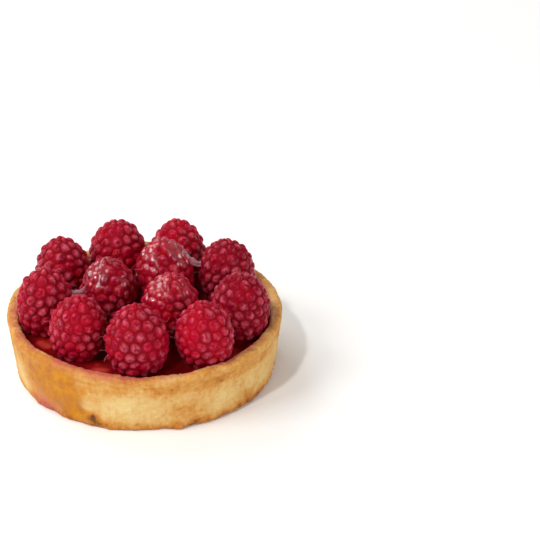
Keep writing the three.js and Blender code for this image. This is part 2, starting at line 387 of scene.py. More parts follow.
def pastry_case():
    rows = []
    for across, up in case_outline():
        row = []
        for i in range(CASE_SIDES):
            row.append(as_baked(across, 2 * math.pi * i / CASE_SIDES, up))
        rows.append(row)
    points, faces = turned_skin(rows)

    # The waves put the middle of the case a little off its axis.
    low = Vector([min(point[k] for point in points) for k in range(3)])
    high = Vector([max(point[k] for point in points) for k in range(3)])
    shift = centre_of(*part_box("pastry_case")) - (low + high) / 2
    shift.z = 0

    paints = {"browning": [], "soaked": [], "stained": [], "crumbly": []}
    moved = []
    broad_size, broad_octaves, broad_height = BROAD_LUMPS
    small_size, small_octaves, small_height = SMALL_LUMPS
    for point in points:
        radius = math.hypot(point.x, point.y)
        angle = math.atan2(point.y, point.x)
        around = Vector((math.cos(angle), math.sin(angle), 0))
        inwards = Vector((-point.x, -point.y, 0)).normalized()
        outside = near_outside(radius, point.z, *OUTSIDE)
        foot = smooth_step(radius, FOOT_RADIUS - 5, FOOT_RADIUS - 2)
        foot *= 1 - smooth_step(point.z, *CRUMBLY_FOOT_FADES)
        lip = smooth_step(point.z, *ROUGH_LIP_STARTS)
        scorch = strength(SCORCHED, angle, point.z) * outside

        # Where the point ends up, with lumps, cracks, crease, bumps and dips.
        push = lumps(point, broad_size, broad_octaves) * broad_height
        push += lumps(point, small_size, small_octaves) * small_height
        push += lumps(point, *EDGE_LUMPS) * (FOOT_LUMP_HEIGHT * foot + LIP_LUMP_HEIGHT * lip)
        crack = max(0, noise.noise(point / FOOT_CRACK_SIZE))
        push += inwards * (SKIN_INSET + FOOT_CRACK_DEPTH * foot * crack + SCORCH_DEPTH * scorch)
        crease = outside * math.exp(-(((point.z - CREASE_HEIGHT) / CREASE_WIDTH) ** 2))
        crease *= 0.6 + noise.noise(Vector((math.cos(angle), math.sin(angle), 3)) * 9)
        bump = outside * strength(FOOT_BUMPS, angle, point.z)
        push += inwards * (CREASE_DEPTH * crease - bump)
        push.z -= strength(LIP_DIPS, angle, point.z)
        if point.z < UNDERSIDE:
            push.z = abs(push.z) * 0.5 * foot
        moved.append(point + shift + push)

        # How brown it is, with painted shade in the crease and painted light inside the wall. The
        # band and the foot's edge wander up and down the wall.
        wander = 1.2 * noise.noise(around * 7)
        band = math.exp(-(((point.z - BAND_HEIGHT + wander) / BAND_WIDTH) ** 2))
        band *= 0.7 + 0.9 * noise.noise(around * 11 + Vector((0, 0, 5)))
        edge = point.z + 1.6 * noise.noise(around * 14 + Vector((0, 0, 9)))
        streak = Vector((math.cos(angle) * 9, math.sin(angle) * 9, point.z / 9))
        tone = PLAIN_TONE + BAND_TONE * band * outside
        tone += LIP_TONE * smooth_step(point.z, *BROWN_LIP_STARTS)
        tone += FOOT_TONE * (1 - smooth_step(edge, *BROWN_FOOT_FADES))
        tone += outside * strength(BROWNED, angle, point.z)
        # Scorched spots are darker, and the crease is darker too, which is painted shade.
        tone += SCORCH_TONE * scorch + CREASE_PAINTED_SHADE * crease
        # Painted light: the inside of the wall is made paler where light falls on it.
        tone -= (1 - outside) * strength(PALE_INSIDE_PAINTED_LIGHT, angle, point.z)
        tone += STREAK_TONE * noise.noise(streak)
        paints["browning"].append(tone)

        # Where juice has soaked in or left it pink.
        wet = outside * strength(SOAKED, angle, point.z) * (1 - min(1, scorch))
        paints["soaked"].append(min(1, wet))
        wander = 1.3 * noise.noise(around * 13) + 0.8 * noise.noise(around * 37)
        inner = 1 - near_outside(radius + wander, point.z, *LIP_OUTSIDE)
        pink = strength(LIP_STAINED, angle, min(point.z, LIP_MARKS_HEIGHT)) + LIP_PINK
        pink *= 0.9 + 0.9 * noise.noise(point / 1.6)
        pink += INSIDE_PINK * (1 - smooth_step(point.z, *INSIDE_PINK_FADES))
        pink *= inner * smooth_step(point.z, *PINK_STARTS)
        paints["stained"].append(min(1, pink + outside * strength(STAINED, angle, point.z)))

        # Where loose crumbs stick.
        on_foot = smooth_step(point.z, *LOOSE_CRUMBS_START)
        on_foot *= 1 - smooth_step(edge, *LOOSE_CRUMBS_FADE)
        on_lip = CRUMBS_ON_LIP * (lip * inner * near_outside(radius, point.z, *LIP_TOP))
        on_wall = CRUMBS_ON_WALL * (WALL_CRUMBS_FROM < point.z < WALL_CRUMBS_TO)
        paints["crumbly"].append(max(on_foot * outside, on_lip, on_wall * outside))

    low, high = (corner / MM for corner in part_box("pastry_case"))
    for place in moved:
        for k in range(3):
            place[k] = min(max(place[k], low[k]), high[k])
    return make_piece("pastry_case_baked", moved, faces, paints), shift


def linear(colour):
    """An sRGB colour such as "#e9c583" as the linear colour that a shader works in."""
    parts = [int(colour[i : i + 2], 16) / 255 for i in (1, 3, 5)]
    parts = [c / 12.92 if c < 0.04045 else ((c + 0.055) / 1.055) ** 2.4 for c in parts]
    return (*parts, 1)


def scale_for(size):
    """The scale of a noise whose features are that many millimetres across."""
    return 1 / (size * MM)


def add_node(tree, kind, inputs=None, stops=(), **settings):
    """Adds a node with its settings and its colour stops. What an input is given may be a
    value, another node's socket, or a node, which is linked by its first output."""
    node = tree.nodes.new(kind)
    for setting, value in settings.items():
        setattr(node, setting, value)
    for i, (place, colour) in enumerate(stops):
        ramp = node.color_ramp.elements
        stop = ramp[i] if i < 2 else ramp.new(place)
        stop.position = place
        stop.color = linear(colour)
    for socket, value in (inputs or {}).items():
        if isinstance(value, bpy.types.Node):
            value = value.outputs[0]
        if isinstance(value, bpy.types.NodeSocket):
            tree.links.new(value, node.inputs[socket])
        else:
            node.inputs[socket].default_value = value
    return node


def new_material(name):
    """An empty material, and its node tree."""
    material = bpy.data.materials.new(name)
    material.use_nodes = True
    material.node_tree.nodes.clear()
    return material, material.node_tree


# The unevenness of the crust: how large, in how much detail, how strong, and how much
# narrower than it is tall.
CRUST_SPECKLES = [
    (6, 3, 0.42, 1),  # patches of unlike dough
    (1.5, 4, 0.46, 1),  # its crumbs
    (0.45, 2, 0.3, 1),  # grains of flour and sugar
    (1.2, 3, 0.3, 0.2),  # upright streaks, where the dough slid up the ring
]


def baked_shortcrust():
    """Baked shortcrust: dry, matt and sandy, cream where it is pale and brown where the
    sugar has caught. Butter and juice make it darker, more orange and a little glossy."""
    material, tree = new_material("baked_shortcrust")
    place = add_node(tree, "ShaderNodeTexCoord").outputs["Object"]
    tone, soaked, stained = (
        add_node(tree, "ShaderNodeAttribute", attribute_name=paint).outputs["Fac"]
        for paint in ("browning", "soaked", "stained")
    )

    for size, detail, amount, squeeze in CRUST_SPECKLES:
        mapped = add_node(tree, "ShaderNodeMapping", {"Vector": place, "Scale": (1, 1, squeeze)})
        speckle = add_node(
            tree, "ShaderNodeTexNoise", {"Vector": mapped, "Scale": scale_for(size), "Detail": detail}
        )
        centred = add_node(tree, "ShaderNodeMath", {0: speckle, 1: 0.5}, operation="SUBTRACT")
        tone = add_node(
            tree, "ShaderNodeMath", {0: centred, 1: amount, 2: tone}, operation="MULTIPLY_ADD"
        )
    crust = add_node(
        tree,
        "ShaderNodeValToRGB",
        {"Fac": tone},
        stops=[
            (0.0, "#dcc082"),
            (1.0, "#6c401a"),
            (0.28, "#d4a864"),
            (0.5, "#ca8e42"),
            (0.72, "#b6702c"),
        ],
    )

    # Juice soaks in unevenly, and is darker where there is more of it.
    mottle = add_node(
        tree, "ShaderNodeTexNoise", {"Vector": place, "Scale": scale_for(3.5), "Detail": 5}
    )
    juice = add_node(
        tree,
        "ShaderNodeValToRGB",
        {"Fac": mottle},
        stops=[(0.34, "#a85c00"), (0.66, "#ca8604"), (0.5, "#bc7400")],
    )
    reach = add_node(tree, "ShaderNodeMath", {0: mottle, 1: 1.1, 2: 0.4}, operation="MULTIPLY_ADD")
    wetted = add_node(
        tree, "ShaderNodeMath", {0: soaked, 1: reach}, operation="MULTIPLY", use_clamp=True
    )
    amber = add_node(tree, "ShaderNodeMixRGB", {"Fac": wetted, "Color1": crust, "Color2": juice})
    pink = add_node(
        tree, "ShaderNodeMixRGB", {"Fac": stained, "Color1": amber, "Color2": linear("#b85c4a")}
    )

    # The grain that makes it feel sandy.
    grain = add_node(
        tree, "ShaderNodeTexNoise", {"Vector": place, "Scale": scale_for(0.6), "Detail": 5}
    )
    bump = add_node(
        tree, "ShaderNodeBump", {"Height": grain, "Strength": 0.9, "Distance": 0.35 * MM}
    )
    roughness = add_node(
        tree, "ShaderNodeMath", {0: soaked, 1: -0.25, 2: 0.72}, operation="MULTIPLY_ADD"
    )
    shader = add_node(
        tree,
        "ShaderNodeBsdfPrincipled",
        {
            "Base Color": pink,
            "Roughness": roughness,
            "Normal": bump,
            "Subsurface Weight": 0.15,
            "Subsurface Radius": (1.0, 0.6, 0.3),
            "Subsurface Scale": 1.0 * MM,
            "IOR": 1.45,
            "Specular IOR Level": 0.25,
        },
    )
    add_node(tree, "ShaderNodeOutputMaterial", {"Surface": shader})
    return material


case, tart_shift = pastry_case()
shortcrust = baked_shortcrust()
case.data.materials.append(shortcrust)
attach(case, "root")
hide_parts("pastry_case")

# ---- Filling ----
# A soft red filling poured to just under the lip and set, with a thin coat of warm glaze
# brushed over it. The glaze climbs the wall and the feet of the raspberries. Juice and painted
# shade make it a deep red nearly all over, and painted light makes it coral where it is thin.

FILLING_TOP = 16.2
FILLING_GAP = 0.5  # between the filling and the floor of the case
FILLING_LAP = 0.05  # how far its edge reaches into the wall
FILLING_ROUND = 2  # radius of its bottom edge
FILLING_WALL_START = 5  # height where that edge has become its side
FILLING_SIDES = 360
GLAZE_STEP = 0.4  # size of the faces on top
UNDER_STEP = 6  # of those underneath
SIDE_STEP = 3  # and of those against the wall
BERRY_COUNT = 12
CLIMB = 0.75  # how far the glaze climbs up what it touches
CLIMB_WIDTH = 0.7
SETTLED = 0.25  # how far the rest of the top has sunk
SWELL = 0.25  # height of its broad waves
RIPPLE = 0.06  # and of its small ones
SEAT_SHARE = 0.62  # radius of a berry's seat, as a share of its half width

# How deep a red is painted, where 0 is bare coral filling: all over, for the juice and for
# painted shade, what is taken off where the glaze is thin and painted light falls, and at a
# berry's foot, for its juice and the painted shade there.
JUICE_AND_SHADE = 0.8
THINNED_AND_LIT = 0.75
FOOT_JUICE_AND_SHADE = 0.45
FOOT_JUICE_AND_SHADE_WIDTH = 1.5

# Where the glaze lies thin on the filling and painted light makes it coral: x, y, and how
# far that spreads.
THIN_GLAZE_AND_PAINTED_LIGHT = [
    (-29.5, -16.0, 3.6),
    (-12.4, -30.6, 3.6),
    (28.2, -22.0, 5.5),
    (-36.5, -6.0, 2.5),
    (-24.0, 24.0, 5.0),
]

berry_nodes = [f"raspberry_{i + 1:02d}" for i in range(BERRY_COUNT)]


def seats():
    """The middle and radius of the patch of filling that each raspberry stands on."""
    found = []
    for node in berry_nodes:
        low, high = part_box(node)
        middle = centre_of(low, high)
        found.append((middle.x, middle.y, (high.x - low.x) / 2 / MM * SEAT_SHARE))
    return found


def filling():
    bottom = FLOOR_THICKNESS + FILLING_GAP
    side = inner_radius(FILLING_WALL_START)
    edge = inner_radius(FILLING_TOP) + FILLING_LAP
    outline = along((1, bottom), (inner_radius(bottom) - FILLING_ROUND, bottom), UNDER_STEP)
    outline += along((side, FILLING_WALL_START), (edge, FILLING_TOP), SIDE_STEP)
    outline += along((edge, FILLING_TOP), (1, FILLING_TOP), GLAZE_STEP)
    places = seats()
    rows, juice_and_shade_paint = [], []
    for across, up in outline:
        row = []
        for i in range(FILLING_SIDES):
            angle = 2 * math.pi * i / FILLING_SIDES
            point = as_baked(across, angle, up) + tart_shift
            point.z = up
            wall_gap = inner_radius(FILLING_TOP) - across
            # wet is the painted deep red: the juice and painted shade, less where painted light falls
            # on thin glaze, and more at the berries' feet.
            wet = JUICE_AND_SHADE
            for x, y, spread in THIN_GLAZE_AND_PAINTED_LIGHT:
                apart = math.hypot(point.x - x, point.y - y) + 1.5 * noise.noise(point / 2)
                wet -= THINNED_AND_LIT * math.exp(-((apart / spread) ** 2))
            if up > FILLING_TOP - 0.01:
                climb = CLIMB * math.exp(-max(0, wall_gap) / CLIMB_WIDTH)
                for x, y, radius in places:
                    gap = math.hypot(point.x - x, point.y - y) - radius
                    climb = max(climb, CLIMB * math.exp(-max(0, gap) / CLIMB_WIDTH))
                    wet = max(wet, FOOT_JUICE_AND_SHADE * math.exp(-max(0, gap) / FOOT_JUICE_AND_SHADE_WIDTH))
                swell = SWELL * noise.noise(point / 4)
                ripple = RIPPLE * noise.noise(point / 1.1)
                point.z += climb - SETTLED + swell + ripple
            row.append(point)
            juice_and_shade_paint.append(wet)
        rows.append(row)
    points, faces = turned_skin(rows)
    juice_and_shade_paint += [0, 0]
    return make_piece("filling_glazed", points, faces, {"wet": juice_and_shade_paint})


def red_glaze():
    """Set fruit glaze over a soft filling: clear, wet and smooth, so coral red where it
    lies thin on the filling and painted light falls, and deep red where juice has gathered
    and shade is painted."""
    material, tree = new_material("red_fruit_glaze")
    place = add_node(tree, "ShaderNodeTexCoord").outputs["Object"]
    # The wet paint is the juice's deep red together with painted shade, and is lower where painted
    # light falls.
    wet = add_node(tree, "ShaderNodeAttribute", attribute_name="wet").outputs["Fac"]
    mottle = add_node(
        tree, "ShaderNodeTexNoise", {"Vector": place, "Scale": scale_for(2.2), "Detail": 4}
    )
    depth = add_node(tree, "ShaderNodeMath", {0: mottle, 1: 0.45, 2: wet}, operation="MULTIPLY_ADD")
    colour = add_node(
        tree,
        "ShaderNodeValToRGB",
        {"Fac": depth},
        stops=[(0.1, "#c64a40"), (1.0, "#640508"), (0.35, "#ae3028"), (0.65, "#880c10")],
    )
    bump = add_node(
        tree, "ShaderNodeBump", {"Height": mottle, "Strength": 0.25, "Distance": 0.3 * MM}
    )
    shader = add_node(
        tree,
        "ShaderNodeBsdfPrincipled",
        {
            "Base Color": colour,
            "Normal": bump,
            "Roughness": 0.25,
            "Subsurface Weight": 0.5,
            "Subsurface Radius": (1.0, 0.15, 0.1),
            "Subsurface Scale": 2.0 * MM,
            "Specular IOR Level": 0.06,
        },
    )
    add_node(tree, "ShaderNodeOutputMaterial", {"Surface": shader})
    return material


set_filling = filling()
set_filling.data.materials.append(red_glaze())
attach(set_filling, "root")
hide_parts("filling")

# ---- Raspberries ----
# Twelve ripe raspberries stood with their tips up. Each is some sixty drupelets, thin
# skinned beads of juice in staggered rings that press against each other, under a fine
# down. The three in the middle have had warm glaze spooned over them.

DRUPELET_SPACING = 3.8  # between neighbours in a ring
RING_PACKING = 0.87  # rings nest, so they are this much closer than neighbours
UNEVENNESS = 0.28  # how far a drupelet strays, as a share of its spacing
BELLY_SHARE = 0.4  # a berry is widest at this share of its height
TIP_TAPER = 1.2  # 1 is an ellipsoid, and more draws the tip in
BEAD_DEPTH = 1.9  # from a drupelet's top to where its side would stand upright
BEAD_SHARE = 0.79  # a bead takes up this share of the way to the corners
BEAD_RINGS = (0.24, 0.44, 0.6, 0.72, 0.82, 0.9, 1.0)
BEAD_EDGE_STEPS = 4
SWOLLEN = 0.35  # how much higher the fullest drupelets stand than the flattest
DENT = 0.05  # in the very top, where the style grew
GROOVE_DEPTH = 1.3  # the skin levels off towards this depth, where drupelets grow together
EDGE_SHORTER = 0.16  # how much nearer the middle of a drupelet's edge is than a corner
SINK = 0.6  # how deep a berry has settled
LOPSIDED = 0.3  # how far a whole berry is out of shape
LOPSIDED_OVER = 9  # in lumps of this size
FILM = 0.12  # thickness of the glaze on the drupelets' tops
GROOVE_FILL = 0.45  # share of a groove's depth that the glaze fills
FILM_FADES_FROM = 0.7  # a film thins out from this share of its spread
FILM_WANDER = 0.35  # how far its edge strays, as a share of that
BERRY_SHARE = 0.6  # how much of a drupelet's tone is its berry's, and the rest its own
FIRST_SEED = 101

# For each berry its width, its height, how far it leans and towards which bearing, and
# how ripe it is: 0 is bright red and 1 is a dull wine red.
RASPBERRIES = [
    (17.6, 19.0, 3, 110, 0.5),
    (19.0, 20.4, 2, 170, 0.4),
    (17.3, 18.3, 3, 200, 0.1),
    (18.2, 19.7, 2, 151, 0.8),
    (18.9, 21.2, 6, -49, 0.8),
    (18.2, 20.2, 4, -112, 0.2),
    (19.7, 20.2, 7, 90, 0.4),
    (18.1, 19.9, 5, -34, 0.3),
    (17.7, 20.9, 2, 0, 0.5),
    (17.7, 18.9, 4, -120, 0.5),
    (18.6, 21.3, 6, 157, 0.2),
    (18.5, 20.1, 3, -59, 0.2),
]

# Where glaze lies on a berry: the berry's place in the list, then the bearing and the
# rise of the middle of the film, how many degrees it spreads, and how thick it is.
GLAZED = [
    (9, -140, 52, 42, 1.0),
    (9, -124, 8, 24, 1.3),
    (9, -45, 25, 22, 0.8),
    (9, 60, 70, 30, 0.5),
    (10, -150, 30, 48, 1.0),
    (10, -20, 45, 32, 1.0),
    (10, -60, 85, 25, 0.6),
    (11, -150, 55, 42, 0.7),
    (11, -40, 50, 25, 0.5),
]


def random_numbers(seed):
    """A row of repeatable random numbers from 0 to 1."""
    while True:
        seed = seed * 16807 % 2147483647
        yield seed / 2147483647


def berry_point(direction, width, height):
    """A point on the berry's outer form, from its middle, for a direction from there."""
    taper = TIP_TAPER if direction.z > 0 else 1
    widen = width / 2 * max(math.hypot(direction.x, direction.y), 1e-9) ** (taper - 1)
    tall = height * (1 - BELLY_SHARE)
    return Vector((direction.x * widen, direction.y * widen, direction.z * tall))


def drupelet_tops(width, height, draw):
    """The directions of the drupelets' tops, in staggered rings from the tip down, which
    lie equally far apart on the skin."""
    across, tall = width / 2, height * (1 - BELLY_SHARE)
    ring_gap = DRUPELET_SPACING * RING_PACKING
    ring_count = int(math.pi * (across + tall) / (2 * ring_gap) + 0.5)
    ring_step = math.pi / ring_count
    crowding = (tall**2 - across**2) / (4 * (tall**2 + across**2))
    tops = []
    for ring in range(ring_count):
        share = (ring + 0.5) * ring_step
        from_tip = share + crowding * math.sin(2 * share)
        length = math.pi * width * math.sin(from_tip)
        count = max(3, int(length / DRUPELET_SPACING + 0.5))
        start = (ring % 2) * 0.5 + next(draw) * UNEVENNESS
        for i in range(count):
            around = (i + start + (next(draw) - 0.5) * UNEVENNESS) * 2 * math.pi / count
            down = from_tip + (next(draw) - 0.5) * UNEVENNESS * ring_step
            flat = math.sin(down)
            tops.append(Vector((flat * math.cos(around), flat * math.sin(around), math.cos(down))))
    return tops


def drupelet_corners(tops):
    """For each top, the corners of its drupelet in turn. Each facet of the hull round the
    tops joins three neighbours, and the corner that they share is in the middle of them."""
    hull = bmesh.new()
    for top in tops:
        hull.verts.new(top)
    bmesh.ops.convex_hull(hull, input=hull.verts)
    corners = []
    for vertex in hull.verts:
        side = vertex.co.orthogonal().normalized()
        beside = vertex.co.cross(side)
        found = [face.calc_center_median().normalized() for face in vertex.link_faces]
        found.sort(key=lambda corner: math.atan2(corner.dot(beside), corner.dot(side)))
        corners.append(found)
    hull.free()
    return corners


def bead_drop(share):
    """How far the skin lies below the berry's outer form, at a share of the way from a
    drupelet's top to its corners."""
    ball = math.sqrt(1 - min(share / BEAD_SHARE, 0.99) ** 2)
    return GROOVE_DEPTH * (1 - math.exp(-BEAD_DEPTH * (1 - ball) / GROOVE_DEPTH))


def glaze_at(berry, direction):
    thickness = 0
    for which, bearing, rise, spread, amount in GLAZED:
        if which != berry:
            continue
        bearing, rise = math.radians(bearing), math.radians(rise)
        flat = math.cos(rise)
        middle = Vector((flat * math.cos(bearing), flat * math.sin(bearing), math.sin(rise)))
        apart = math.degrees(middle.angle(direction))
        edge = spread * (1 + FILM_WANDER * noise.noise(direction * 4))
        thickness = max(thickness, amount * (1 - smooth_step(apart, edge * FILM_FADES_FROM, edge)))
    return thickness


def raspberry(berry, node):
    width, height, lean, towards, ripe = RASPBERRIES[berry]
    draw = random_numbers(FIRST_SEED + berry)
    tops = drupelet_tops(width, height, draw)

    low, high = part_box(node)
    seat, highest = low.z / MM - SINK, cad_bounds[1].z / MM
    belly = centre_of(low, high)
    belly.z = low.z / MM + BELLY_SHARE * height * math.cos(math.radians(lean))
    bearing = math.radians(towards)
    lean_axis = Vector((-math.sin(bearing), math.cos(bearing), 0))
    leaning = Matrix.Rotation(math.radians(lean), 3, lean_axis)

    points, faces = [], []
    paints = {"out": [], "tone": [], "glazed": []}
    summits = []

    def add_point(direction, out, reach, size, tone):
        drop = bead_drop(out * reach) - size * (1 - out) * (1 + out)
        glaze = glaze_at(berry, direction)
        runs = 0.14 * noise.noise(direction * 7) + 0.12 * noise.noise(direction * 17)
        drop += glaze * (runs - FILM - GROOVE_FILL * max(0, drop))
        skin = berry_point(direction, width, height)
        skin *= 1 - drop / skin.length
        place = leaning @ skin + belly
        place += lumps(place, LOPSIDED_OVER, 1) * LOPSIDED
        place.z = min(max(place.z, seat), highest)
        points.append(place)
        own_tone = 0.5 + (tone - 0.5) * (1 - out**4)
        paints["out"].append(out * reach)
        paints["tone"].append(BERRY_SHARE * ripe + (1 - BERRY_SHARE) * own_tone)
        paints["glazed"].append(glaze)
        return place

    for top, corners in zip(tops, drupelet_corners(tops)):
        size, tone = (next(draw) - 0.6) * SWOLLEN, next(draw)
        border = []
        for corner, following in zip(corners, corners[1:] + corners[:1]):
            for i in range(BEAD_EDGE_STEPS):
                part = i / BEAD_EDGE_STEPS
                reach = 1 - EDGE_SHORTER * math.sin(math.pi * part)
                border.append((corner.lerp(following, part), reach))
        count = len(border)
        first = len(points)
        summit = add_point(top, 0, 1, size - DENT, tone)
        summits.append((summit, (leaning @ top).normalized()))
        for out in BEAD_RINGS:
            for end, reach in border:
                add_point(top.lerp(end, out).normalized(), out, reach, size, tone)
        for i in range(count):
            beside = (i + 1) % count
            faces.append((first, first + 1 + i, first + 1 + beside))
            for ring in range(len(BEAD_RINGS) - 1):
                here = first + 1 + ring * count
                faces.append((here + i, here + count + i, here + count + beside, here + beside))
    return make_piece(f"berry_{berry + 1:02d}", points, faces, paints), summits


def raspberry_skin():
    """Ripe raspberry: a thin skin full of juice, so light goes in and comes out deep red.
    The drupelets' tops shine a little and carry a pale haze in patches, partly down and
    partly a painted sheen for the broad reflection of the lights, and the grooves between them
    are matt. Glaze makes it all wet and smooth."""
    material, tree = new_material("raspberry_skin")
    place = add_node(tree, "ShaderNodeTexCoord").outputs["Object"]
    out, tone, glazed = (
        add_node(tree, "ShaderNodeAttribute", attribute_name=paint).outputs["Fac"]
        for paint in ("out", "tone", "glazed")
    )
    blotch = add_node(
        tree, "ShaderNodeTexNoise", {"Vector": place, "Scale": scale_for(6), "Detail": 3}
    )
    bloom = add_node(
        tree, "ShaderNodeTexNoise", {"Vector": place, "Scale": scale_for(1.3), "Detail": 4}
    )

    # From a drupelet's top, where the juice is deep and the colour darker, down its thin side,
    # where a lighter ring is painted for the light that comes through it and the reflection at
    # its edge, to the pure red of the groove.
    flesh = add_node(
        tree,
        "ShaderNodeValToRGB",
        {"Fac": out},
        stops=[
            (0.0, "#a8042a"),
            (1.0, "#a80010"),
            (0.36, "#ac0428"),
            (0.6, "#ba1232"),
            (0.8, "#ac0016"),
        ],
    )
    ripeness = add_node(
        tree, "ShaderNodeMath", {0: tone, 1: 0.7, 2: blotch}, operation="MULTIPLY_ADD"
    )
    shade = add_node(
        tree, "ShaderNodeValToRGB", {"Fac": ripeness}, stops=[(0.4, "#ffffff"), (1.0, "#b8a4c8")]
    )
    ripe = add_node(
        tree,
        "ShaderNodeMixRGB",
        {"Fac": 1.0, "Color1": flesh, "Color2": shade},
        blend_type="MULTIPLY",
    )

    # A pale haze lies in patches on the drupelets' tops, unless glaze wets it: partly the down,
    # and partly a painted sheen for the broad reflection of the lights.
    uneven = add_node(
        tree, "ShaderNodeMath", {0: blotch, 1: 0.8, 2: bloom}, operation="MULTIPLY_ADD"
    )
    patches = add_node(
        tree,
        "ShaderNodeMapRange",
        {"Value": uneven, "From Min": 0.84, "From Max": 1.06, "To Min": 0.0, "To Max": 0.65},
    )
    on_top = add_node(
        tree,
        "ShaderNodeMapRange",
        {"Value": out, "From Min": 0.35, "From Max": 0.76, "To Min": 1.0, "To Max": 0.0},
    )
    dry = add_node(
        tree, "ShaderNodeMath", {0: glazed, 1: -0.7, 2: 1.0}, operation="MULTIPLY_ADD", use_clamp=True
    )
    down = add_node(tree, "ShaderNodeMath", {0: patches, 1: on_top}, operation="MULTIPLY")
    # Painted sheen: the pale haze is mixed into the base colour.
    down_and_painted_sheen = add_node(tree, "ShaderNodeMath", {0: down, 1: dry}, operation="MULTIPLY")
    with_down_and_painted_sheen = add_node(
        tree, "ShaderNodeMixRGB", {"Fac": down_and_painted_sheen, "Color1": ripe, "Color2": linear("#cc586c")}
    )

    # The glaze is a clear coat, and the skin is roughest in the grooves.
    coat = add_node(tree, "ShaderNodeMath", {0: glazed, 1: 0.9}, operation="MULTIPLY", use_clamp=True)
    downy = add_node(
        tree,
        "ShaderNodeMapRange",
        {"Value": out, "From Min": 0.55, "From Max": 0.78, "To Min": 0.12, "To Max": 0.6},
    )
    rough = add_node(
        tree, "ShaderNodeMath", {0: glazed, 1: -0.08, 2: downy}, operation="MULTIPLY_ADD"
    )
    bump = add_node(
        tree, "ShaderNodeBump", {"Height": bloom, "Strength": 0.25, "Distance": 0.2 * MM}
    )
    shader = add_node(
        tree,
        "ShaderNodeBsdfPrincipled",
        {
            "Base Color": with_down_and_painted_sheen,
            "Roughness": rough,
            "Normal": bump,
            "Subsurface Weight": 0.75,
            "Subsurface Radius": (1.0, 0.1, 0.08),
            "Subsurface Scale": 1.6 * MM,
            "IOR": 1.38,
            "Specular IOR Level": 0.13,
            "Coat Weight": coat,
            "Coat Roughness": 0.06,
            "Coat IOR": 1.75,  # syrup's is 1.5, and more gives brighter glints
            "Sheen Weight": 0.08,
            "Sheen Roughness": 0.2,
            "Sheen Tint": linear("#f4a8b0"),
        },
    )
    add_node(tree, "ShaderNodeOutputMaterial", {"Surface": shader})
    return material


berry_skin = raspberry_skin()
all_summits = []
for berry, node in enumerate(berry_nodes):
    piece, summits = raspberry(berry, node)
    all_summits += summits
    piece.data.materials.append(berry_skin)
    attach(piece, "root")
    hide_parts(node)

# ---- Styles on the raspberries ----
# Every drupelet grew under its own style, a thin thread of the flower. Most have rubbed
# off. Those left are dry, pale, bent and one to three millimetres long.

STYLE_LENGTH = 2.6
STYLE_THICKNESS = 0.09
STYLE_GAP = 1  # between a thread's end and the filling or the wall, at least
BARE_TIP = 0.45  # no threads where the skin faces up more than this


def new_geometry_tree(name, numbers):
    """A tree of geometry nodes with named numbers to set, and the sockets that give them."""
    tree = bpy.data.node_groups.new(name, "GeometryNodeTree")
    tree.interface.new_socket("Geometry", in_out="INPUT", socket_type="NodeSocketGeometry")
    for label, value in numbers.items():
        kind = "NodeSocketInt" if isinstance(value, int) else "NodeSocketFloat"
        tree.interface.new_socket(label, in_out="INPUT", socket_type=kind).default_value = value
    tree.interface.new_socket("Geometry", in_out="OUTPUT", socket_type="NodeSocketGeometry")
    return tree, add_node(tree, "NodeGroupInput").outputs


def finish_tree(tree, instances, material):
    """Ends a tree of geometry nodes: real mesh, with a material."""
    real = add_node(tree, "GeometryNodeRealizeInstances", {"Geometry": instances})
    dressed = add_node(tree, "GeometryNodeSetMaterial", {"Geometry": real, "Material": material})
    add_node(tree, "NodeGroupOutput", {"Geometry": dressed})


def grow(name, mesh, tree, numbers):
    """The piece that a tree of geometry nodes makes of a mesh."""
    piece = bpy.data.objects.new(name, mesh)
    bpy.context.scene.collection.objects.link(piece)
    modifier = piece.modifiers.new("grow", "NODES")
    modifier.node_group = tree
    for socket in tree.interface.items_tree:
        if socket.name in numbers:
            modifier[socket.identifier] = numbers[socket.name]
    evaluated = piece.evaluated_get(bpy.context.evaluated_depsgraph_get())
    grown = bpy.data.meshes.new_from_object(evaluated)
    grown.materials.pop(index=0)  # an empty place, ahead of the tree's own material
    piece.modifiers.remove(modifier)
    piece.data = grown
    grown.name = name
    return piece


